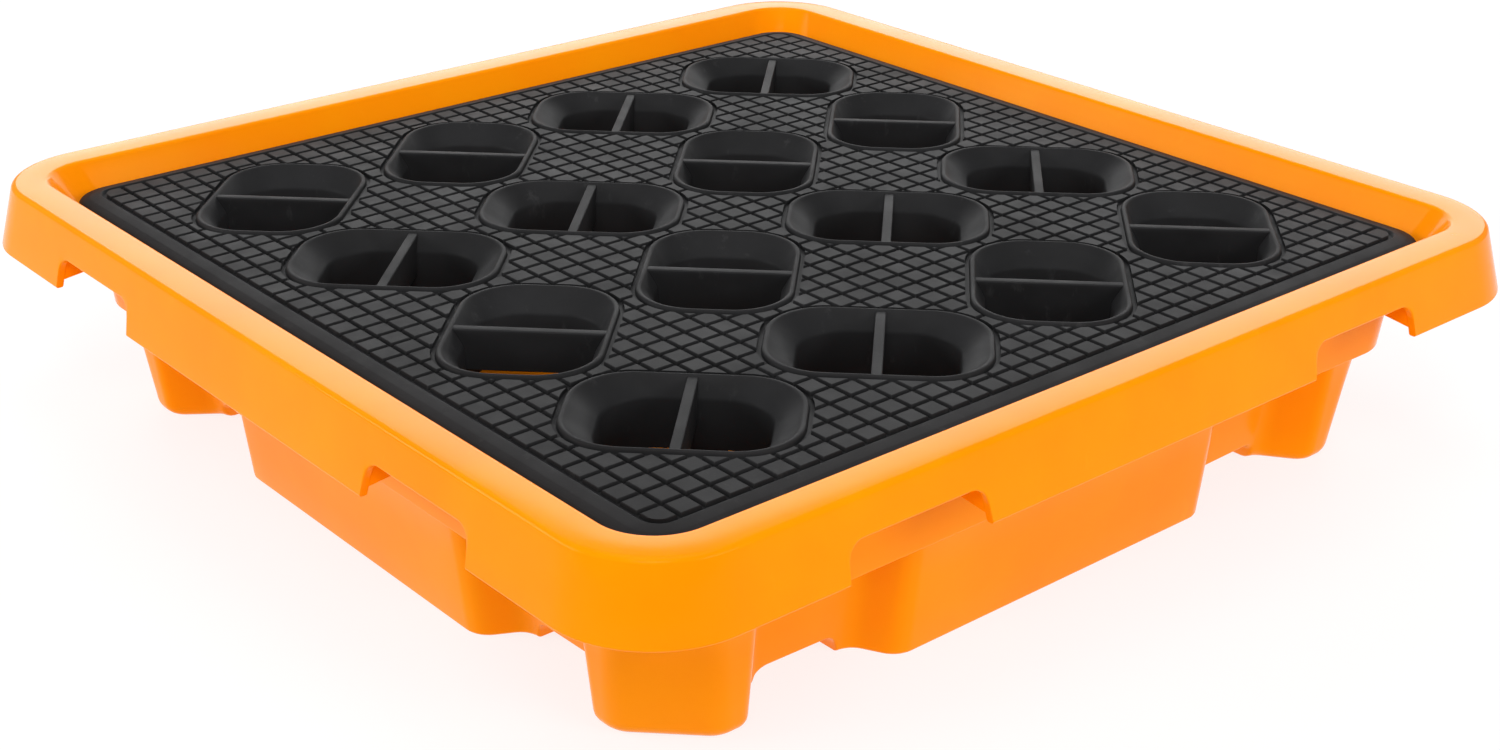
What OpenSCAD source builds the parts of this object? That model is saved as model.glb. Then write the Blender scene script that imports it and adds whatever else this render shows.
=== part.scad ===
/* [Overall] */
// Width of the square pallet across the bottom of the rim skirt
pallet_w = 672; // [640:2:720]
// Height from the ground to the top of the rim
pallet_h = 145; // [140:1:160]
// Wall thickness of the sump moulding
wall_t = 5; // [4:0.5:6]

/* [Rim] */
// Height of the lower edge of the skirt above the ground
skirt_z = 105.5; // [100:0.5:112]
// Width of the rim across its outer top edge
rim_top_w = 655; // [640:1:660]
// Width of the mouth inside the rim at its top
mouth_w = 611; // [600:1:614]
// Thickness of the skirt
skirt_t = 4.5; // [3:0.5:6]
// Distance of each hand notch from the middle of its side
notch_at = 168.5; // [160:0.5:180]
// Length of each hand notch
notch_w = 89; // [70:1:100]
// Height of the top of the hand notches above the ground
notch_top = 124.5; // [120:0.5:130]

/* [Tray] */
// Width of the tray across its side blocks at the ground
base_w = 545; // [530:1:560]
// Height of the shelf line, where the blocks meet the upper wall
shelf_z = 66.5; // [60:0.5:72]
// Width of the tray across the upper wall at the shelf line
shelf_w = 566; // [563:1:570]
// Height of the sump floor above the ground
floor_z = 18; // [16:0.5:24]
// Depth of the side recesses
recess_d = 24.5; // [16:0.5:28]
// Distance of each strap channel from the middle
channel_at = 168; // [160:1:176]
// Width of each strap channel
channel_w = 54; // [44:1:60]
// Height of the strap channels
channel_h = 12; // [10:0.5:13]
// Height of the ledge that carries the edge of the deck
ledge_z = 118; // [116:0.5:120]

/* [Deck] */
// Width of the deck
deck_w = 584; // [580:1:586]
// Height of the top of the deck above the ground
deck_top = 134; // [132:0.5:136]
// Thickness of the deck panel
panel_t = 6; // [4:0.5:8]
// Centre distance of the drain cups
cup_pitch = 130; // [128:0.5:134]
// Outside length of a drain cup at its lip
cup_l = 120.6; // [110:0.2:122]
// Outside width of a drain cup at its lip
cup_w = 87.5; // [80:0.5:90]
// Depth of a drain cup below the top of the deck
cup_depth = 38; // [30:1:44]
// Thickness of the bar across the middle of a cup
bar_t = 6; // [5:0.5:8]

/* [Hidden] */
$fn = 32;

orange = [1.0, 0.53, 0.02];
dark_grey = [0.13, 0.13, 0.14];

// gap left between the deck and the tray that carries it
rest_gap = 0.3;
// extra length that keeps a cut clean
cut = 1;
// small overlap where two lengths of one solid meet
seam = 0.01;

// rim
cap_t = 5;
cap_z = pallet_h - cap_t;
edge_round = 3;
skirt_corner = 58;
edge_corner = 53;
mouth_corner = 31;
// how much the half width of the mouth shrinks below its top
mouth_lean = 1;
notch_round = 10;
gusset_t = 4;
gusset_z = 110;

// tray
base_corner_cut = 37;
block_half = 118;
foot_from = 219.5;
recess_slope_in = 13;
recess_slope_out = 18;
block_round = 7;
foot_round = 18;
hollow_round = 8;
draft_at_shelf = 15;
wall_corner = 34;
ledge_half = 294;
ledge_t = 5;
upper_wall_lean = 4;
channel_round = 9;

// deck
panel_z = deck_top - panel_t;
deck_low = ledge_z + rest_gap;
deck_corner = 26;
deck_edge_h = 6;
deck_edge_in = 5;
rib_t = 4;
rib_lines = [-cup_pitch, 0, cup_pitch];
leg_w = 30;
leg_t = 5;
lip_rise = 0.8;
lip_w = 4.6;
cup_round = 33;
cup_wall = 3.5;
root_l = cup_l - 2;
root_w = cup_w - 1;
throat_z = 118;
throat_l = 88;
throat_w = 73;
foot_l = 84;
foot_w = 70;
bar_top = 133.8;
bar_bottom = 110;
// how far each end of the bar runs into the wall of its cup
bar_bite = 1;

function cup_turn(i, j) = ((i + (j > 2 ? 1 : 0)) % 2 == 1) ? 135 : 45;

// square of half width h with round corners of radius r
module rounded_square(h, r) {
    offset(r = r) square(2 * (h - r), center = true);
}

// straight-sided ring section that grows from half width h0 to h1
module tapered_square(z0, z1, h0, h1, r) {
    translate([0, 0, z0])
        linear_extrude(height = z1 - z0, scale = h1 / h0)
            rounded_square(h0, r);
}

module round_outer(r) {
    offset(r = r) offset(delta = -r) children();
}

module round_inner(r) {
    offset(r = -r) offset(delta = r) children();
}

// plan of the blocks and corner feet at the ground
module base_plan() {
    h = base_w / 2;
    round_outer(block_round)
        round_inner(hollow_round)
            difference() {
                round_outer(foot_round) base_square(h);
                for (a = [0:90:270], s = [-1, 1])
                    rotate(a) side_recess(h, s);
            }
}

module base_square(h) {
    c = base_corner_cut;
    polygon([
        [-h + c, -h], [h - c, -h], [h, -h + c], [h, h - c],
        [h - c, h], [-h + c, h], [-h, h - c], [-h, -h + c]
    ]);
}

module side_recess(h, s) {
    polygon([
        [s * block_half, -h - cut],
        [s * block_half, -h],
        [s * (block_half + recess_slope_in), -h + recess_d],
        [s * (foot_from - recess_slope_out), -h + recess_d],
        [s * foot_from, -h],
        [s * foot_from, -h - cut]
    ]);
}

// strap channel that runs right through under the tray
module channel() {
    rotate([90, 0, 0])
        linear_extrude(height = pallet_w, center = true)
            round_outer(channel_round)
                translate([-channel_w / 2, -channel_h])
                    square([channel_w, 2 * channel_h]);
}

module tray_outside() {
    h = base_w / 2;
    linear_extrude(height = shelf_z, scale = (h + draft_at_shelf / 2) / h)
        base_plan();
    tapered_square(shelf_z, ledge_z - ledge_t, shelf_w / 2, shelf_w / 2 + upper_wall_lean, wall_corner);
    tapered_square(
        ledge_z - ledge_t, cap_z,
        ledge_half + wall_t, mouth_w / 2 + wall_t - mouth_lean, mouth_corner + wall_t);
}

module tray_inside() {
    h = base_w / 2;
    translate([0, 0, floor_z])
        linear_extrude(height = shelf_z + wall_t - floor_z, scale = (h + draft_at_shelf / 2) / h)
            offset(delta = -wall_t) base_plan();
    tapered_square(
        shelf_z + wall_t, ledge_z,
        shelf_w / 2 - wall_t, shelf_w / 2 + upper_wall_lean - wall_t, wall_corner - wall_t);
    tapered_square(ledge_z, cap_z + cut, ledge_half, mouth_w / 2 - mouth_lean, mouth_corner);
}

module sump_tray() {
    color(orange)
        difference() {
            tray_outside();
            tray_inside();
            for (a = [0, 90], s = [-1, 1])
                rotate(a) translate([s * channel_at, 0, 0]) channel();
        }
}

module rim_outside() {
    h0 = pallet_w / 2;
    h1 = rim_top_w / 2;
    tapered_square(skirt_z, pallet_h - edge_round, h0, h1, skirt_corner);
    tapered_square(pallet_h - edge_round, pallet_h, h1, h1 - edge_round, edge_corner);
}

module rim_inside() {
    h0 = pallet_w / 2 - skirt_t;
    h1 = rim_top_w / 2 - skirt_t;
    tapered_square(skirt_z - cut, cap_z, h0, h1, skirt_corner - skirt_t);
    tapered_square(cap_z - cut, pallet_h + cut, mouth_w / 2 - mouth_lean, mouth_w / 2, mouth_corner);
}

// hand notch in the skirt of the front side
module notch() {
    translate([notch_at, 0, 0])
        rotate([90, 0, 0])
            linear_extrude(height = pallet_w)
                round_outer(notch_round)
                    translate([-notch_w / 2, 0])
                        square([notch_w, notch_top]);
}

// upright plate between the skirt and the wall at each end of a notch
module gusset(x) {
    wall_at = mouth_w / 2 + wall_t - mouth_lean;
    skirt_at = rim_top_w / 2;
    translate([x - gusset_t / 2, -skirt_at, gusset_z])
        cube([gusset_t, skirt_at - wall_at, cap_z - gusset_z]);
}

module sump_rim() {
    color(orange) {
        difference() {
            rim_outside();
            rim_inside();
            for (a = [0:90:270], m = [0, 1])
                rotate(a) mirror([m, 0, 0]) notch();
        }
        for (a = [0:90:270], s = [-1, 1], e = [-1, 1])
            rotate(a) gusset(s * notch_at + e * (notch_w + gusset_t) / 2);
    }
}

// plan of a drain cup, its long axis along x
module cup_plan(l, w) {
    offset(r = cup_round)
        square([l - 2 * cup_round, w - 2 * cup_round], center = true);
}

// cup-shaped solid between two heights, measured at its upper end
module cup_taper(z0, z1, l0, w0, l1, w1) {
    translate([0, 0, z1])
        mirror([0, 0, 1])
            linear_extrude(height = z1 - z0, scale = [l0 / l1, w0 / w1], slices = 1)
                cup_plan(l1, w1);
}

module drain_cup(i, j) {
    foot_z = deck_top - cup_depth;
    grow = 2 * cup_wall;
    color(dark_grey)
        translate([(i - 2.5) * cup_pitch, (j - 2.5) * cup_pitch, 0])
            rotate(cup_turn(i, j)) {
                difference() {
                    union() {
                        cup_taper(panel_z, deck_top + lip_rise, cup_l, cup_w, cup_l, cup_w);
                        cup_taper(foot_z, panel_z + seam, foot_l + grow, foot_w + grow, root_l, root_w);
                    }
                    cup_taper(
                        throat_z, deck_top + lip_rise + seam,
                        throat_l, throat_w, cup_l - 2 * lip_w, cup_w - 2 * lip_w);
                    cup_taper(foot_z - cut, throat_z + seam, foot_l, foot_w, throat_l, throat_w);
                }
                cup_bar();
            }
}

module cup_bar() {
    reach = throat_w / 2 + bar_bite;
    translate([-bar_t / 2, -reach, bar_bottom])
        cube([bar_t, 2 * reach, bar_top - bar_bottom]);
}

module deck_panel() {
    h = deck_w / 2;
    color(dark_grey)
        difference() {
            union() {
                difference() {
                    union() {
                        tapered_square(deck_low, deck_top - deck_edge_h, h, h, deck_corner);
                        tapered_square(deck_top - deck_edge_h, deck_top, h, h - deck_edge_in, deck_corner);
                    }
                    tapered_square(deck_low - cut, panel_z, h - wall_t, h - wall_t, deck_corner - wall_t);
                }
                for (a = [0, 90], x = rib_lines)
                    rotate(a) rib(x);
            }
            for (i = [1:4], j = [1:4])
                translate([(i - 2.5) * cup_pitch, (j - 2.5) * cup_pitch, panel_z - cut])
                    rotate(cup_turn(i, j))
                        linear_extrude(height = panel_t + 2 * cut)
                            cup_plan(cup_l, cup_w);
        }
}

// stiffening rib under the panel, between the rows of cups, as deep as the panel's edge
module rib(x) {
    reach = deck_w / 2 - wall_t;
    translate([x - rib_t / 2, -reach, deck_low])
        cube([rib_t, 2 * reach, panel_z - deck_low]);
}

// cross-shaped legs that carry the middle of the deck on the sump floor
module deck_legs() {
    z0 = floor_z + rest_gap;
    color(dark_grey)
        for (x = [-1, 1], y = [-1, 1], a = [0, 90])
            translate([x * cup_pitch, y * cup_pitch, z0])
                rotate(a)
                    translate([-leg_w / 2, -leg_t / 2, 0])
                        cube([leg_w, leg_t, deck_low - z0]);
}

sump_tray();
sump_rim();
deck_panel();
deck_legs();
drain_cup(1, 1);  // drain_cup_1_1
drain_cup(2, 1);  // drain_cup_2_1
drain_cup(3, 1);  // drain_cup_3_1
drain_cup(4, 1);  // drain_cup_4_1
drain_cup(1, 2);  // drain_cup_1_2
drain_cup(2, 2);  // drain_cup_2_2
drain_cup(3, 2);  // drain_cup_3_2
drain_cup(4, 2);  // drain_cup_4_2
drain_cup(1, 3);  // drain_cup_1_3
drain_cup(2, 3);  // drain_cup_2_3
drain_cup(3, 3);  // drain_cup_3_3
drain_cup(4, 3);  // drain_cup_4_3
drain_cup(1, 4);  // drain_cup_1_4
drain_cup(2, 4);  // drain_cup_2_4
drain_cup(3, 4);  // drain_cup_3_4
drain_cup(4, 4);  // drain_cup_4_4
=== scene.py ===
import math

import bmesh
import bpy
import numpy as np
from mathutils import Matrix, Vector


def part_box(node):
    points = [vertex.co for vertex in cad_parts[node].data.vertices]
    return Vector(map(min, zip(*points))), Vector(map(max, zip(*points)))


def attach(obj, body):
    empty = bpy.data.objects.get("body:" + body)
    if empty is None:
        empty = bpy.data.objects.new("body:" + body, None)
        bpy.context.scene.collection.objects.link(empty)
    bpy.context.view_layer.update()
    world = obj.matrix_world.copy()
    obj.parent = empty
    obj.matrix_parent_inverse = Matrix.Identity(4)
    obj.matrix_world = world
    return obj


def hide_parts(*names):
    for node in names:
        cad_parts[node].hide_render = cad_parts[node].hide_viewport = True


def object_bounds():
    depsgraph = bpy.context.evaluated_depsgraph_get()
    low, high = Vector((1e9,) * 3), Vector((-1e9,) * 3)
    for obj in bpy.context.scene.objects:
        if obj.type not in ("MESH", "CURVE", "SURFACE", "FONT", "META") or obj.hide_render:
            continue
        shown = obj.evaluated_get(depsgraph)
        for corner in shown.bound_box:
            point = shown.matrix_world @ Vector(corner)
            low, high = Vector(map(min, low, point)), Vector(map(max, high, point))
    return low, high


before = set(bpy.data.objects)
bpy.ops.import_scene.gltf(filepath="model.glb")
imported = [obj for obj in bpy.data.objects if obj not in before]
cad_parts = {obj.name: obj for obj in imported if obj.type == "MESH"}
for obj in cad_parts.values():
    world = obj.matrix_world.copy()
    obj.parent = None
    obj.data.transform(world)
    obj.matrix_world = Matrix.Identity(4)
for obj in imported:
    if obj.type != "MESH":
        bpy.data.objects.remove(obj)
cad_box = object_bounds()
MM = 0.001


# ---------------------------------------------------------------- sizes, in millimetres
# The overall sizes come from the frame; the rest are the details of the mouldings.

def node_box(name):
    lo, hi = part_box(name)
    return [v / MM for v in lo], [v / MM for v in hi]


PALLET_HALF = cad_box[1][0] / MM
PALLET_TOP = cad_box[1][2] / MM
DECK_LO, DECK_HI = node_box("deck_panel")
DECK_HALF = DECK_HI[0]
DECK_TOP = DECK_HI[2]
DECK_LOW = DECK_LO[2]
LEG_LO, LEG_HI = node_box("deck_legs")
CUP_LO, CUP_HI = node_box("drain_cup_4_4")
CUP_PITCH = (CUP_LO[0] + CUP_HI[0]) / 3

# sump: half widths and heights; REST_GAP parts the resting deck from it
REST_GAP = 0.3
SKIRT_LOW = 105.5
SKIRT_LEAN = 0.215
SKIRT_T = 4.5
CAP_UNDER = PALLET_TOP - 5
MOUTH_HALF = 305.4
RIM_EDGE_HALF = PALLET_HALF - SKIRT_LEAN * (PALLET_TOP - SKIRT_LOW)
LEDGE_HALF = 294
LEDGE_Z = DECK_LOW - REST_GAP
WALL_T = 5
WALL_LOW_HALF = 283
WALL_HIGH_HALF = 287
SHELF_Z = 66.5
BASE_HALF = 272.5
BASE_DRAFT = 7.5 / SHELF_Z
FLOOR_Z = LEG_LO[2] - REST_GAP
SIDE_END = 226
CORNER_CUT = 37
CORE_HALF = 235

# along a side, from its middle: the middle block, the recess beside it and the foot
RECESS_DEPTH = 24.5
BLOCK_TO = 118
RECESS_FROM = 131
RECESS_TO = 201.5
FOOT_FROM = 219.5
FOOT_ROUND = 18

# hand notch in the skirt, and strap channel under the recess
NOTCH_TOP = 124.5
NOTCH_FROM = 124
NOTCH_TO = 213
NOTCH_LEAN = 1
CHANNEL_H = 12
CHANNEL_FROM = 139.6
CHANNEL_TO = 196.4
CHANNEL_LEAN = 2

# corner radii of the sump's upper rings: the wall's, then by half width from the ledge to the skirt
WALL_BEND = 34
RIM_AT = [LEDGE_HALF, 305, 327, 336]
RIM_BENDS = [31, 31, 56, 58]

# mesh density: columns along half a side, the gap under which two of them merge, and the corner's columns
EVEN_COLUMNS = 13
COLUMN_GAP = 0.9
CORNER_STRAIGHT = 4
CORNER_ARC = 24
FILLET_STEPS = 5
LONGEST_STEP = 14
WELD = 0.01


# ---------------------------------------------------------------- plane geometry

def filleted(points, radii, steps=6):
    """An open 2-D path with its inner corners rounded; radii has one value per inner corner."""
    pts = [np.array(p, float) for p in points]
    out = [pts[0]]
    for i, r in enumerate(radii, start=1):
        p = pts[i]
        a = (pts[i - 1] - p) / np.linalg.norm(pts[i - 1] - p)
        b = (pts[i + 1] - p) / np.linalg.norm(pts[i + 1] - p)
        half = math.acos(np.clip(a @ b, -1, 1)) / 2
        if r == 0:
            out.append(p)
            continue
        centre = p + (a + b) / np.linalg.norm(a + b) * r / math.sin(half)
        v0 = p + a * r / math.tan(half) - centre
        v1 = p + b * r / math.tan(half) - centre
        sweep = math.pi - 2 * half
        for k in range(steps + 1):
            f = k / steps
            w0 = math.sin((1 - f) * sweep) / math.sin(sweep)
            w1 = math.sin(f * sweep) / math.sin(sweep)
            out.append(centre + w0 * v0 + w1 * v1)
    out.append(pts[-1])
    return np.array(out)


# along half a side: how deep the recess is, and how high the notch and the channel reach
RECESS = filleted(
    [(0, 0), (BLOCK_TO, 0), (RECESS_FROM, RECESS_DEPTH),
     (RECESS_TO, RECESS_DEPTH), (FOOT_FROM, 0), (SIDE_END, 0)],
    [14, 14, 14, 9], steps=7)
NOTCH = filleted(
    [(0, SKIRT_LOW), (NOTCH_FROM, SKIRT_LOW), (NOTCH_FROM + NOTCH_LEAN, NOTCH_TOP),
     (NOTCH_TO - NOTCH_LEAN, NOTCH_TOP), (NOTCH_TO, SKIRT_LOW), (SIDE_END, SKIRT_LOW)],
    [0.8, 10, 10, 0.8], steps=7)
CHANNEL = filleted(
    [(0, 0), (CHANNEL_FROM, 0), (CHANNEL_FROM + CHANNEL_LEAN, CHANNEL_H),
     (CHANNEL_TO - CHANNEL_LEAN, CHANNEL_H), (CHANNEL_TO, 0), (SIDE_END, 0)],
    [1.5, 9, 9, 1.5])


def side_columns():
    """Places along half a side where the rings have a point, from the middle outwards."""
    even = np.linspace(0, SIDE_END, EVEN_COLUMNS)
    every = np.concatenate([RECESS[:, 0], NOTCH[:, 0], CHANNEL[:, 0], even])
    kept = []
    for t in np.sort(every):
        if not kept or t - kept[-1] > COLUMN_GAP:
            kept.append(t)
    kept[-1] = SIDE_END
    return np.array(kept)


HALF_T = side_columns()
T = np.concatenate([-HALF_T[:0:-1], HALF_T])


def along(path, t):
    """The value of a half-side path at places t on either side of the middle."""
    return np.interp(np.abs(t), path[:, 0], path[:, 1])


def quarter_arc(r):
    """The rounded corner between the front and right sides, about its own centre."""
    a = np.linspace(0, math.pi / 2, CORNER_ARC + 1)
    return np.stack([r * np.sin(a), -r * np.cos(a)], 1)


def round_corner(h, r):
    return np.array([h - r, -(h - r)]) + quarter_arc(r)


def cut_corner(h, inset=0.0):
    """The 45 degree corner of a foot, its two edges rounded, moved in by inset."""
    third = CORNER_ARC // 3
    r = max(FOOT_ROUND - inset, 4)
    cut = CORNER_CUT - inset * (2 - math.sqrt(2))
    path = filleted([(h - 2 * cut, -h), (h - cut, -h), (h, cut - h), (h, 2 * cut - h)], [r, r], third)
    first, second = path[1:third + 2], path[third + 2:-1]
    flat = [first[-1] + (second[0] - first[-1]) * k / third for k in range(1, third)]
    return np.concatenate([first, flat, second])


def corner_columns(h, bend):
    """Ring points after the last column of one side and before the first column of the next."""
    start, end = np.array([SIDE_END, -h]), np.array([h, -SIDE_END])
    lead = [start + (bend[0] - start) * k / CORNER_STRAIGHT for k in range(1, CORNER_STRAIGHT)]
    tail = [bend[-1] + (end - bend[-1]) * k / CORNER_STRAIGHT for k in range(1, CORNER_STRAIGHT)]
    return np.concatenate([lead, bend, tail])


def square_corner(h):
    """Corner points of a plain square ring, spaced evenly, as many as the other corners have."""
    n = 2 * CORNER_STRAIGHT + CORNER_ARC
    half = n // 2
    step = (h - SIDE_END) / half
    first = [(SIDE_END + step * k, -h) for k in range(1, half + 1)]
    second = [(h, -h + step * k) for k in range(1, half)]
    return np.array(first + second)


def four_sides(side, corner):
    """A whole ring from one side and the corner that follows it."""
    block = np.concatenate([side, corner])
    ring = []
    for quarter in range(4):
        c, s = [(1, 0), (0, 1), (-1, 0), (0, -1)][quarter]
        x = block[:, 0] * c - block[:, 1] * s
        y = block[:, 0] * s + block[:, 1] * c
        ring.append(np.stack([x, y, block[:, 2]], 1))
    return np.concatenate(ring)


def ring(h, z, bend, inward=0.0):
    """A ring at half width h, its corner made by bend: h, z and inward may vary along the side."""
    h = np.broadcast_to(h, T.shape)
    z = np.broadcast_to(z, T.shape)
    side = np.stack([T, inward - h, z], 1)
    xy = square_corner(h[-1]) if bend is square_corner else corner_columns(h[-1], bend(h[-1]))
    corner = np.column_stack([xy, np.full(len(xy), z[-1])])
    return four_sides(side, corner)


# ---------------------------------------------------------------- mesh helpers

def loft(rings, closed=False):
    """Vertices and quads of a stack of rings."""
    count, n = len(rings), len(rings[0])
    quads = []
    for i in range(count if closed else count - 1):
        a, b = i * n, (i + 1) % count * n
        for k in range(n):
            m = (k + 1) % n
            quads.append((a + k, a + m, b + m, b + k))
    return np.concatenate(rings), quads


def make_mesh(name, parts):
    """One object from (vertices in mm, faces) parts, welded, with outward normals."""
    bm = bmesh.new()
    for verts, faces in parts:
        made = [bm.verts.new(Vector(v) * MM) for v in verts]
        for f in faces:
            bm.faces.new([made[i] for i in f])
    bmesh.ops.remove_doubles(bm, verts=bm.verts, dist=WELD * MM)
    bmesh.ops.dissolve_degenerate(bm, dist=WELD * MM, edges=bm.edges)
    bmesh.ops.recalc_face_normals(bm, faces=bm.faces)
    mesh = bpy.data.meshes.new(name)
    bm.to_mesh(mesh)
    bm.free()
    obj = bpy.data.objects.new(name, mesh)
    bpy.context.scene.collection.objects.link(obj)
    return obj


def shade(obj, angle):
    """Smooth shading, with edges sharper than angle kept sharp."""
    bpy.context.view_layer.objects.active = obj
    for other in bpy.context.selected_objects:
        other.select_set(False)
    obj.select_set(True)
    bpy.ops.object.shade_smooth_by_angle(angle=math.radians(angle))
    obj.select_set(False)


def boolean(obj, tool, operation):
    """Join or cut obj with tool, which is used up."""
    mod = obj.modifiers.new("cut", "BOOLEAN")
    mod.operation = operation
    mod.object = tool
    mod.solver = "MANIFOLD"
    apply_modifiers(obj)
    bpy.data.objects.remove(tool, do_unlink=True)


def apply_modifiers(obj):
    graph = bpy.context.evaluated_depsgraph_get()
    mesh = bpy.data.meshes.new_from_object(obj.evaluated_get(graph))
    obj.modifiers.clear()
    old = obj.data
    obj.data = mesh
    bpy.data.meshes.remove(old)


def bridged(first, last):
    """A closed part between two outlines that have the same number of points."""
    n = len(first)
    sides = [(k, (k + 1) % n, n + (k + 1) % n, n + k) for k in range(n)]
    return first + last, [tuple(range(n))[::-1], tuple(range(n, 2 * n))] + sides


def prism(points, z0, z1):
    """An upright prism on a plan of (x, y) points."""
    return bridged([(x, y, z0) for x, y in points], [(x, y, z1) for x, y in points])


def swept(points, ends):
    """A section of (x, z) points run along y, with its own two ends for each point."""
    near = [(x, e[0], z) for (x, z), e in zip(points, ends)]
    far = [(x, e[1], z) for (x, z), e in zip(points, ends)]
    return bridged(near, far)


def turned(part, degrees, x=0.0, y=0.0):
    """A part turned about z and moved in plan."""
    verts, faces = part
    c, s = math.cos(math.radians(degrees)), math.sin(math.radians(degrees))
    v = np.asarray(verts, float)
    moved = np.stack([x + v[:, 0] * c - v[:, 1] * s, y + v[:, 0] * s + v[:, 1] * c, v[:, 2]], 1)
    return moved, faces


def square_ring(h, r, z):
    """A rounded square at one height, with corners of CORNER_ARC steps."""
    bend = round_corner(h, r)
    corner = np.column_stack([bend, np.full(len(bend), z)])
    return np.concatenate([turned((corner, []), 90 * q)[0] for q in range(4)])


# ---------------------------------------------------------------- the sump

def base_half(z):
    """Half width of the blocks' outside at a height."""
    return BASE_HALF + BASE_DRAFT * z


def upper_bend(h):
    """Corner radius of the upper rings: it grows from the wall out to the rim."""
    return WALL_BEND if h < WALL_HIGH_HALF + 3 else float(np.interp(h, RIM_AT, RIM_BENDS))


def upper_rings():
    """From the inside shelf over the rim and skirt and back to the outside shelf line."""
    low, top = SKIRT_LOW, PALLET_TOP
    inner_skirt = PALLET_HALF - SKIRT_T
    outer_rim = MOUTH_HALF + 15
    path = filleted(
        [(WALL_LOW_HALF - WALL_T - 1, SHELF_Z + WALL_T), (WALL_LOW_HALF - WALL_T, SHELF_Z + WALL_T + 1),
         (WALL_HIGH_HALF - WALL_T, LEDGE_Z), (LEDGE_HALF, LEDGE_Z), (MOUTH_HALF, top),
         (RIM_EDGE_HALF, top), (PALLET_HALF, low), (inner_skirt, low),
         (inner_skirt - SKIRT_LEAN * (CAP_UNDER - low), CAP_UNDER), (MOUTH_HALF + 3, CAP_UNDER),
         (LEDGE_HALF + WALL_T, LEDGE_Z - WALL_T), (WALL_HIGH_HALF, LEDGE_Z - WALL_T),
         (WALL_LOW_HALF, SHELF_Z), (WALL_LOW_HALF - 2, SHELF_Z)],
        [0, 1.5, 2.5, 3, 3.2, 1.2, 1.2, 3, 3, 2, 3, 1.6])
    rings = []
    notch_rise = along(NOTCH, T) - low
    for h, z in refined(path, LONGEST_STEP):
        # the skirt's rings rise over the notches, all of the way at its edge and less further up
        on_skirt = h > outer_rim and z < CAP_UNDER
        share = min(1.0, (CAP_UNDER - z) / (CAP_UNDER - low - 2)) if on_skirt else 0.0
        rise = notch_rise * share
        r = upper_bend(h)
        rings.append(ring(h - SKIRT_LEAN * rise, z + rise, lambda half, r=r: round_corner(half, r)))
    return rings


def refined(path, longest):
    """The same path with long straight stretches divided."""
    out = [path[0]]
    for p in path[1:]:
        steps = max(1, int(np.ceil(np.linalg.norm(p - out[-1]) / longest)))
        start = out[-1]
        out += [start + (p - start) * k / steps for k in range(1, steps + 1)]
    return np.array(out)


def inner_rings():
    """From the sump floor up the inside of the blocks to the inside shelf."""
    depth = along(RECESS, T)
    shelf = SHELF_Z + WALL_T
    fillet = 7
    rings = []

    def add(h, z):
        rings.append(ring(h, z, lambda half: cut_corner(half, base_half(z) - half), depth))

    for k in range(FILLET_STEPS + 1):
        a = math.pi / 2 * k / FILLET_STEPS
        h = base_half(FLOOR_Z) - WALL_T - fillet + fillet * math.sin(a)
        add(h, FLOOR_Z + fillet - fillet * math.cos(a))
    for z in np.linspace(FLOOR_Z + fillet + 8, shelf - 3, 3):
        add(base_half(z) - WALL_T, z)
    add(base_half(shelf) - WALL_T + 0.7, shelf - 0.9)
    add(base_half(shelf) - WALL_T + 1.8, shelf)
    return rings


def foot_radius(low):
    """Radius of the bottom edge: largest under the feet, small at the middle and in the channels."""
    radius = np.interp(np.abs(T), [150, 190], [2.5, 8.0])
    return np.interp(low, [0, CHANNEL_H], [1, 0.3]) * radius


def outer_rings():
    """From the shelf line down the outside of the blocks, round their feet and in to the core."""
    depth = along(RECESS, T)
    low = along(CHANNEL, T)
    top, bend = SHELF_Z, 1.8
    foot = foot_radius(low)
    rings = [
        ring(base_half(top) + 1.6, top, cut_corner, depth),
        ring(base_half(top) + 0.5, top - 0.5, cut_corner, depth),
        ring(base_half(top), top - bend, cut_corner, depth),
    ]
    for share in (0.67, 0.33, 0.0):
        z = low + foot + (top - bend - low - foot) * share
        rings.append(ring(base_half(z), z, cut_corner, depth))
    for k in range(1, FILLET_STEPS + 1):
        a = math.pi / 2 * k / FILLET_STEPS
        z = low + foot - foot * math.sin(a)
        inset = foot * (1 - math.cos(a))
        rings.append(ring(base_half(z) - inset, z, lambda half, i=inset[-1]: cut_corner(half, i), depth))
    rings.append(ring(CORE_HALF, low, square_corner))
    return rings


def underside():
    """The core of the underside: pads with the strap channels crossing between them."""
    half_steps = (2 * CORNER_STRAIGHT + CORNER_ARC) // 2
    edge = [SIDE_END + (CORE_HALF - SIDE_END) * k / half_steps for k in range(1, half_steps + 1)]
    lines = np.concatenate([-np.array(edge[::-1]), T, edge])
    rise = along(CHANNEL, lines)
    n = len(lines)
    x, y = np.meshgrid(lines, lines, indexing="ij")
    z = np.maximum(rise[:, None], rise[None, :])
    verts = np.stack([x.ravel(), y.ravel(), z.ravel()], 1)
    faces = [(i * n + j, i * n + j + 1, (i + 1) * n + j + 1, (i + 1) * n + j)
             for i in range(n - 1) for j in range(n - 1)]
    return verts, faces


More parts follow.
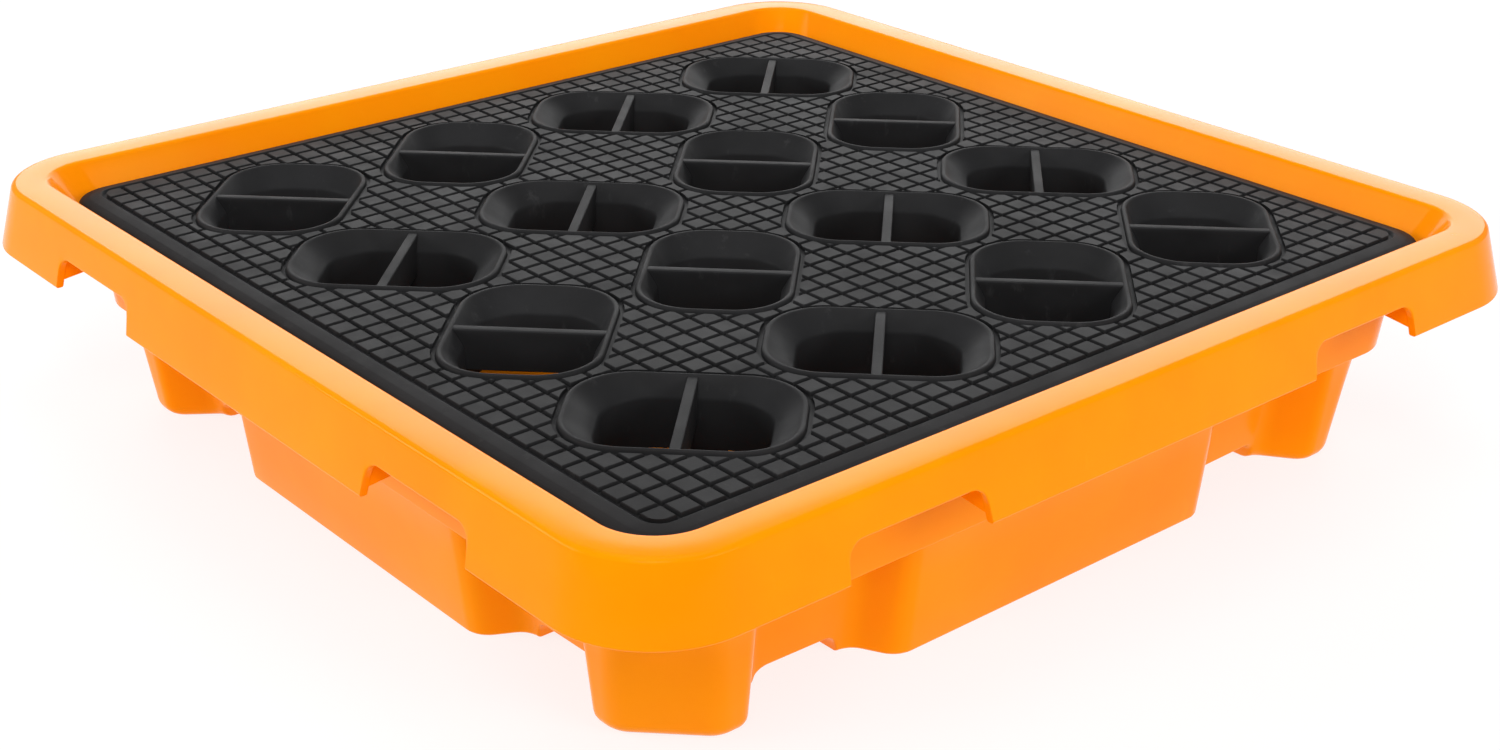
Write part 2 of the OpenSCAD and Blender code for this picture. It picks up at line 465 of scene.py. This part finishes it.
def gussets():
    """Upright plates inside the skirt at both ends of each hand notch."""
    half_thick = 2
    low = 110
    bite = 1
    inner_skirt = PALLET_HALF - SKIRT_T + bite
    wall = LEDGE_HALF + WALL_T - 0.5
    section = [
        (inner_skirt - SKIRT_LEAN * (low - SKIRT_LOW), low),
        (inner_skirt - SKIRT_LEAN * (CAP_UNDER - SKIRT_LOW), CAP_UNDER + bite),
        (MOUTH_HALF + 2, CAP_UNDER + bite), (wall, LEDGE_Z), (wall, low + 4)]
    plates = []
    for side in range(4):
        for t in (NOTCH_FROM - half_thick, NOTCH_TO + half_thick):
            for mid in (-t, t):
                first = [(mid - half_thick, -h, z) for h, z in section]
                last = [(mid + half_thick, -h, z) for h, z in section]
                plates.append(turned(bridged(first, last), 90 * side))
    return plates


def build_sump():
    """One closed moulding: the lofted shell, its floor and underside, and the plates inside the skirt."""
    rings = inner_rings() + upper_rings() + outer_rings()
    verts, quads = loft(rings)
    floor = tuple(range(len(rings[0])))[::-1]
    obj = make_mesh("sump_moulding", [(verts, quads + [floor]), underside()])
    boolean(obj, make_mesh("gussets", gussets()), "UNION")
    shade(obj, 32)
    return obj


# ---------------------------------------------------------------- the deck

# the grip field: square pads parted by grooves, whose section is given as (place across, depth)
PADS = 39
FIELD_HALF = 276
PAD_PITCH = 2 * FIELD_HALF / PADS
PANEL_UNDER = DECK_TOP - 6
GROOVE_DEEP = 2.1
GROOVE = [(-1.7, 0.0), (-1.3, 0.3), (-0.9, GROOVE_DEEP), (0.9, GROOVE_DEEP), (1.3, 0.3), (1.7, 0.0)]
GROOVE_LOW = DECK_TOP - GROOVE_DEEP

# the field's trimmed edge and its corner, and the border's corner radius by half width
GRIP_CORNER = 9
GRIP_TRIM = 0.95
BORDER_AT = [FIELD_HALF - 2, FIELD_HALF + 2, DECK_HALF - 6, DECK_HALF]
BORDER_BENDS = [9, 11, 20, 25]

# a cup's lip, the groove round it, and the steps in each corner and straight side of its plan
CUP_L = 120.6
CUP_W = 87.5
CUP_R = 33
RING_GROOVE = 2.8
CUP_ARC = 14
CUP_SIDE = 6
CUP_NUMBERS = range(1, 5)


def cup_outline(grow_l, grow_w):
    """Plan of a cup: its lip's outline, grown by so much at each end and on each side."""
    half_l, half_w = CUP_L / 2 + grow_l, CUP_W / 2 + grow_w
    # near the lip the corners run parallel to it; further in they shrink with the width
    r = CUP_R + grow_w if grow_w > -2 else CUP_R * half_w / (CUP_W / 2)
    r = min(r, half_w - 1)
    pts = []
    for cx, cy, a0 in ((1, -1, -90), (1, 1, 0), (-1, 1, 90), (-1, -1, 180)):
        for k in range(CUP_ARC + 1):
            a = math.radians(a0 + 90 * k / CUP_ARC)
            pts.append((cx * (half_l - r) + r * math.cos(a), cy * (half_w - r) + r * math.sin(a)))
    return divided(pts)


def divided(pts):
    """The same closed plan with each straight side divided evenly."""
    out = []
    n = len(pts)
    for k in range(n):
        p, q = np.array(pts[k]), np.array(pts[(k + 1) % n])
        out.append(p)
        if (k + 1) % (CUP_ARC + 1) == 0:
            out += [p + (q - p) * j / CUP_SIDE for j in range(1, CUP_SIDE)]
    return np.array(out)


def cup_turn(i, j):
    """Cups alternate along a row; rows 3 and 4 start the other way."""
    return 135 if (i + (1 if j > 2 else 0)) % 2 == 1 else 45


def cup_place(i, j):
    return (i - 2.5) * CUP_PITCH, (j - 2.5) * CUP_PITCH


def pad_field():
    """The gripped middle of the deck, with its crossing grooves."""
    lines, drops = [], []
    for g in range(PADS + 1):
        for off, drop in GROOVE:
            at = -FIELD_HALF + g * PAD_PITCH + off
            if abs(at) < FIELD_HALF + 0.5:
                lines.append(at)
                drops.append(drop)
    lines, drops = np.array(lines), np.array(drops)
    n = len(lines)
    x, y = np.meshgrid(lines, lines, indexing="ij")
    z = DECK_TOP - np.maximum(drops[:, None], drops[None, :])
    top = np.stack([x.ravel(), y.ravel(), z.ravel()], 1)
    faces = [(i * n + j, (i + 1) * n + j, (i + 1) * n + j + 1, i * n + j + 1)
             for i in range(n - 1) for j in range(n - 1)]
    # the grid's outline in order, which carries the side walls down to the panel's underside
    edge = [i * n for i in range(n)] + [(n - 1) * n + j for j in range(1, n)]
    edge += [i * n + n - 1 for i in range(n - 2, -1, -1)] + [j for j in range(n - 2, 0, -1)]
    base = len(top)
    low = [(top[k][0], top[k][1], PANEL_UNDER) for k in edge]
    m = len(edge)
    faces += [(edge[k], base + k, base + (k + 1) % m, edge[(k + 1) % m]) for k in range(m)]
    faces.append(tuple(range(base + m - 1, base - 1, -1)))
    return make_mesh("field", [(np.concatenate([top, low]), faces)])


def build_panel():
    """The grip field, trimmed and holed for the cups, with the border round it and ribs under it."""
    obj = pad_field()
    low, high = PANEL_UNDER - 5, DECK_TOP + 5
    trim = square_ring(FIELD_HALF - GRIP_TRIM, GRIP_CORNER, 0)[:, :2]
    boolean(obj, make_mesh("trim", [prism(trim, low, high)]), "INTERSECT")
    hole = prism(cup_outline(RING_GROOVE, RING_GROOVE), low, high)
    holes = [turned(hole, cup_turn(i, j), *cup_place(i, j)) for i in CUP_NUMBERS for j in CUP_NUMBERS]
    boolean(obj, make_mesh("holes", holes), "DIFFERENCE")
    boolean(obj, make_mesh("border", [deck_border()]), "UNION")
    for angle in (0, 90):
        boolean(obj, make_mesh("ribs", ribs(angle)), "UNION")
    obj.name = "deck_grip_panel"
    obj.data.name = obj.name
    shade(obj, 24)
    return obj


def deck_border():
    """The smooth band round the grip field, its rounded edge and the lip that rests on the ledge."""
    inner, lip = FIELD_HALF - 1.4, DECK_HALF - 5
    section = filleted(
        [(inner, PANEL_UNDER + 1), (inner, GROOVE_LOW), (FIELD_HALF + 1.1, GROOVE_LOW),
         (FIELD_HALF + 2.1, DECK_TOP - 0.2), (DECK_HALF - 7, DECK_TOP - 1.4),
         (DECK_HALF - 0.2, DECK_TOP - 3.4), (DECK_HALF, DECK_LOW), (lip, DECK_LOW),
         (lip, PANEL_UNDER), (inner, PANEL_UNDER + 0.5)],
        [0, 0.2, 0.8, 8, 4, 0.8, 0.8, 3], steps=7)
    rings = [square_ring(h, float(np.interp(h, BORDER_AT, BORDER_BENDS)), z) for h, z in section]
    return loft(rings, closed=True)


def ribs(angle):
    """Stiffening ribs one way under the panel, between the rows of cups."""
    half_top, half_low = 2.0, 1.4
    top = PANEL_UNDER + 0.5
    reach = DECK_HALF - 4
    parts = []
    for line in (-CUP_PITCH, 0, CUP_PITCH):
        section = [(line - half_top, top), (line - half_low, DECK_LOW),
                   (line + half_low, DECK_LOW), (line + half_top, top)]
        parts.append(turned(swept(section, [(-reach, reach)] * 4), angle))
    return parts


# section of a cup: how far its outline grows at the ends and on the sides, and its height over DECK_TOP
CUP_GROOVE = [(3.1, 3.1, -4.6), (3.1, 3.1, -2.3), (0.9, 0.9, -2.3), (0.4, 0.4, -2.1), (0.1, 0.1, -1.2)]
CUP_LIP = [(-0.1, -0.1, 0.0), (-0.6, -0.6, 0.55), (-1.3, -1.3, 0.8), (-2.1, -2.0, 0.7), (-2.8, -2.6, 0.3)]
CUP_BAND = [(-3.3, -3.0, -0.2), (-7.5, -4.7, -3.1), (-11.7, -6.4, -6.1), (-16.0, -8.0, -9.1)]
CUP_WALL = [(-16.7, -8.4, -9.9), (-17.1, -8.7, -11.2), (-17.6, -9.1, -24.0), (-18.2, -9.5, -36.8)]
CUP_FOOT = [(-17.8, -9.1, -37.7), (-16.8, -8.2, -38.0), (-15.8, -7.2, -37.7), (-15.4, -6.6, -36.8)]
CUP_OUTSIDE = [(-14.4, -5.8, -24.0), (-13.2, -5.0, -14.0), (-9.5, -4.0, -10.0),
               (-3.0, -2.0, -7.4), (3.1, 3.1, -6.0)]
CUP_PROFILE = CUP_GROOVE + CUP_LIP + CUP_BAND + CUP_WALL + CUP_FOOT + CUP_OUTSIDE


def build_cup():
    """A drain cup about its own centre: ring groove, rolled lip, funnel, and the bar across it."""
    rings = []
    for grow_l, grow_w, dz in CUP_PROFILE:
        plan = cup_outline(grow_l, grow_w)
        rings.append(np.column_stack([plan, np.full(len(plan), DECK_TOP + dz)]))
    cup = make_mesh("cup_pattern", [loft(rings, closed=True)])
    boolean(cup, make_mesh("bar", [cup_bar()]), "UNION")
    shade(cup, 34)
    return cup


def cup_bar():
    """The upright bar across the middle of a cup, thicker and longer at its top."""
    top, low = DECK_TOP - 0.2, DECK_TOP - 24
    half_top, half_low = 2.9, 2.4
    reach_top, reach_low = CUP_W / 2 - 2.6, CUP_W / 2 - 7.4
    section = filleted(
        [(0, low), (half_low, low), (half_top, top), (-half_top, top), (-half_low, low), (0, low)],
        [0.8, 0.9, 0.9, 0.8], 4)[:-1]
    ends = []
    for _, z in section:
        reach = reach_low + (reach_top - reach_low) * (z - low) / (top - low)
        ends.append((-reach, reach))
    return swept(section, ends)


def cup_copy(pattern, i, j):
    """The cup of column i and row j, turned and moved to its place."""
    x, y = cup_place(i, j)
    obj = bpy.data.objects.new("cup_%d_%d" % (i, j), pattern.data.copy())
    turn = Matrix.Rotation(math.radians(cup_turn(i, j)), 4, "Z")
    obj.data.transform(Matrix.Translation((x * MM, y * MM, 0)) @ turn)
    bpy.context.scene.collection.objects.link(obj)
    return obj


def cross_ring(a, b, z):
    """A cross at one height, its arms a long from the centre and b thick on each side."""
    plan = [(b, -a), (b, -b), (a, -b), (a, b), (b, b), (b, a),
            (-b, a), (-b, b), (-a, b), (-a, -b), (-b, -b), (-b, -a)]
    return np.array([(x, y, z) for x, y in plan])


def build_legs():
    """The four cross-shaped legs under the deck, slimmer at the feet's edge and sunk into the ribs."""
    arm, half_thick, edge, bite = 15, 2.5, 1.0, 6
    foot, top = LEG_LO[2], LEG_HI[2]
    rings = [cross_ring(arm - edge, half_thick - edge / 2, foot)]
    rings += [cross_ring(arm, half_thick, z) for z in (foot + edge, foot + 40, top + bite)]
    verts, quads = loft(rings)
    n = len(rings[0])
    last = len(verts) - n
    leg = verts, quads + [tuple(range(n))[::-1], tuple(range(last, last + n))]
    places = [(x, y) for x in (-CUP_PITCH, CUP_PITCH) for y in (-CUP_PITCH, CUP_PITCH)]
    legs = make_mesh("deck_support_legs", [turned(leg, 0, x, y) for x, y in places])
    shade(legs, 30)
    return legs


# ---------------------------------------------------------------- materials

ORANGE = (1.0, 0.255, 0.0005)
ORANGE_LIGHT = (1.0, 0.29, 0.001)
ORANGE_SCUFF = (1.0, 0.33, 0.008)
DARK = (0.012, 0.012, 0.0125)
DARK_LIGHT = (0.019, 0.019, 0.020)
DARK_SCUFF = (0.07, 0.07, 0.07)
PAPER = (0.18, 0.18, 0.18)
PAPER_LIGHT = (0.20, 0.20, 0.20)


class Shader:
    """A material's node tree, with short calls for the nodes used here."""

    def __init__(self, name):
        self.material = bpy.data.materials.new(name)
        self.material.use_nodes = True
        self.tree = self.material.node_tree
        self.bsdf = self.tree.nodes["Principled BSDF"]
        self.place = self.tree.nodes.new("ShaderNodeTexCoord").outputs["Object"]

    def link(self, source, name):
        """Feed one of the surface's own inputs."""
        self.tree.links.new(source, self.bsdf.inputs[name])

    def join(self, source, target):
        self.tree.links.new(source, target)

    def noise(self, scale, detail, rough, stretch=(1, 1, 1)):
        """Noise of so many waves to a metre, from 0 to 1."""
        mapping = self.tree.nodes.new("ShaderNodeMapping")
        mapping.inputs["Scale"].default_value = stretch
        self.join(self.place, mapping.inputs["Vector"])
        node = self.tree.nodes.new("ShaderNodeTexNoise")
        node.inputs["Scale"].default_value = scale
        node.inputs["Detail"].default_value = detail
        node.inputs["Roughness"].default_value = rough
        self.join(mapping.outputs["Vector"], node.inputs["Vector"])
        return node.outputs["Fac"]

    def span(self, source, low, high, to_low, to_high):
        """The stretch from low to high of source, spread over another range and held at its ends."""
        node = self.tree.nodes.new("ShaderNodeMapRange")
        values = {"From Min": low, "From Max": high, "To Min": to_low, "To Max": to_high}
        for key, value in values.items():
            node.inputs[key].default_value = value
        self.join(source, node.inputs["Value"])
        return node.outputs["Result"]

    def scaled(self, source, factor):
        node = self.tree.nodes.new("ShaderNodeMath")
        node.operation = "MULTIPLY"
        self.join(source, node.inputs[0])
        node.inputs[1].default_value = factor
        return node.outputs[0]

    def added(self, a, b):
        node = self.tree.nodes.new("ShaderNodeMath")
        node.operation = "ADD"
        self.join(a, node.inputs[0])
        self.join(b, node.inputs[1])
        return node.outputs[0]

    def mix(self, factor, a, b):
        node = self.tree.nodes.new("ShaderNodeMix")
        node.data_type = "RGBA"
        self.join(factor, node.inputs["Factor"])
        for key, value in (("A", a), ("B", b)):
            socket = [s for s in node.inputs if s.name == key and s.type == "RGBA"][0]
            if isinstance(value, tuple):
                socket.default_value = (*value, 1)
            else:
                self.join(value, socket)
        return [s for s in node.outputs if s.type == "RGBA"][0]

    def bump(self, height, strength, distance):
        node = self.tree.nodes.new("ShaderNodeBump")
        node.inputs["Strength"].default_value = strength
        node.inputs["Distance"].default_value = distance
        self.join(height, node.inputs["Height"])
        return node.outputs["Normal"]


def orange_plastic():
    """Glossy and even, with faint upright scuffs and the slight waviness of a rotational moulding."""
    s = Shader("orange_polyethylene")
    mottle = s.span(s.noise(9, 5, 0.55), 0.35, 0.65, 0, 1)
    scuff = s.span(s.noise(60, 6, 0.7, (1, 1, 0.25)), 0.62, 0.74, 0, 0.35)
    s.link(s.mix(scuff, s.mix(mottle, ORANGE, ORANGE_LIGHT), ORANGE_SCUFF), "Base Color")
    rough = s.span(s.noise(22, 6, 0.6), 0.3, 0.7, 0.12, 0.19)
    s.link(s.added(rough, s.scaled(scuff, 0.35)), "Roughness")
    skin = s.added(s.scaled(s.noise(420, 3, 0.5), 0.6), s.noise(35, 2, 0.5))
    s.link(s.bump(skin, 0.06, 0.0006), "Normal")
    s.bsdf.inputs["Specular IOR Level"].default_value = 0.1
    s.bsdf.inputs["Specular Tint"].default_value = (1, 0.6, 0.25, 1)
    return s.material


def dark_plastic():
    """Matt and finely grained, with a few pale scuffs."""
    s = Shader("dark_grey_polyethylene")
    mottle = s.span(s.noise(14, 6, 0.6), 0.3, 0.7, 0, 1)
    scuff = s.span(s.noise(85, 7, 0.7, (1, 1, 0.4)), 0.6, 0.75, 0, 0.3)
    s.link(s.mix(scuff, s.mix(mottle, DARK, DARK_LIGHT), DARK_SCUFF), "Base Color")
    rough = s.span(s.noise(40, 6, 0.6), 0.3, 0.7, 0.48, 0.6)
    s.link(s.added(rough, s.scaled(scuff, 0.3)), "Roughness")
    grain = s.added(s.scaled(s.noise(900, 4, 0.6), 0.7), s.scaled(s.noise(120, 2, 0.5), 0.6))
    s.link(s.bump(grain, 0.12, 0.0005), "Normal")
    s.bsdf.inputs["Specular IOR Level"].default_value = 0.07
    return s.material


def floor_paper():
    """A pale backdrop that glows a little, as a light table does, so that shadows on it stay faint."""
    s = Shader("pale_floor")
    s.link(s.mix(s.noise(2, 3, 0.5), PAPER, PAPER_LIGHT), "Base Color")
    s.bsdf.inputs["Roughness"].default_value = 0.9
    s.bsdf.inputs["Specular IOR Level"].default_value = 0.1
    s.bsdf.inputs["Emission Color"].default_value = (1, 1, 1, 1)
    s.bsdf.inputs["Emission Strength"].default_value = 0.8
    return s.material


# ---------------------------------------------------------------- stage, light and camera

# the softboxes, in metres and watts: name, place, width, height and power; all of them face LIGHT_AIM
SOFTBOXES = [
    ("back_softbox", (-1.6, 1.5, 1.0), 3.0, 1.1, 34),
    ("top_softbox", (0.2, -0.1, 2.4), 1.8, 1.8, 20),
    ("left_softbox", (-1.3, -2.2, 1.1), 1.8, 1.0, 33),
    ("right_softbox", (2.5, 0.4, 1.2), 1.4, 0.9, 24),
    ("front_softbox", (1.5, -1.4, 2.0), 1.0, 1.0, 26),
]
LIGHT_AIM = (0, 0, 0.1)
WORLD_STRENGTH = 0.3
FLOOR_HALF = 8

CAMERA_AT = (0.947, -0.793, 0.598)
CAMERA_BACK = (0.69113, -0.58823, 0.41993)
CAMERA_RIGHT = (0.64682, 0.76264, 0.00374)
SENSOR_WIDTH = 36
LENS = 52.68


def build_stage():
    bm = bmesh.new()
    bmesh.ops.create_grid(bm, x_segments=8, y_segments=8, size=FLOOR_HALF)
    mesh = bpy.data.meshes.new("studio_floor")
    bm.to_mesh(mesh)
    bm.free()
    floor = bpy.data.objects.new("studio_floor", mesh)
    floor.location.z = cad_box[0][2]
    bpy.context.scene.collection.objects.link(floor)
    mesh.materials.append(floor_paper())


def softbox(name, at, width, height, power):
    data = bpy.data.lights.new(name, "AREA")
    data.shape = "RECTANGLE"
    data.size, data.size_y = width, height
    data.energy = power
    lamp = bpy.data.objects.new(name, data)
    lamp.location = at
    lamp.rotation_euler = (Vector(LIGHT_AIM) - Vector(at)).to_track_quat("-Z", "Y").to_euler()
    bpy.context.scene.collection.objects.link(lamp)


def build_lights():
    world = bpy.data.worlds.new("studio")
    world.use_nodes = True
    back = world.node_tree.nodes["Background"]
    back.inputs["Color"].default_value = (1, 1, 1, 1)
    back.inputs["Strength"].default_value = WORLD_STRENGTH
    bpy.context.scene.world = world
    for box in SOFTBOXES:
        softbox(*box)


def build_camera():
    """The camera stands off the near corner: right, up and back are its own axes."""
    right, back = Vector(CAMERA_RIGHT), Vector(CAMERA_BACK)
    axes = Matrix((right, back.cross(right), back)).transposed()
    data = bpy.data.cameras.new("camera")
    data.sensor_width = SENSOR_WIDTH
    data.lens = LENS
    cam = bpy.data.objects.new("camera", data)
    cam.matrix_world = Matrix.Translation(CAMERA_AT) @ axes.to_4x4()
    bpy.context.scene.collection.objects.link(cam)
    bpy.context.scene.camera = cam
    bpy.context.scene.view_settings.view_transform = "Standard"


# ---------------------------------------------------------------- put together

def place(piece, body, slot, material, *nodes):
    """Give a piece its material and its body, and hide the CAD nodes that it stands for; slot is not
    used.
    """
    piece.data.materials.clear()
    piece.data.materials.append(material)
    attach(piece, body)
    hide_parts(*nodes)


build_camera()
build_lights()
build_stage()
orange = orange_plastic()
dark = dark_plastic()
place(build_sump(), "sump", "sump_plastic", orange, "sump_tray", "sump_rim")
place(build_panel(), "deck", "deck_plastic", dark, "deck_panel")
place(build_legs(), "deck", "deck_plastic", dark, "deck_legs")
pattern = build_cup()
for column in CUP_NUMBERS:
    for row in CUP_NUMBERS:
        cup = cup_copy(pattern, column, row)
        place(cup, "deck", "deck_plastic", dark, "drain_cup_%d_%d" % (column, row))
bpy.data.objects.remove(pattern, do_unlink=True)
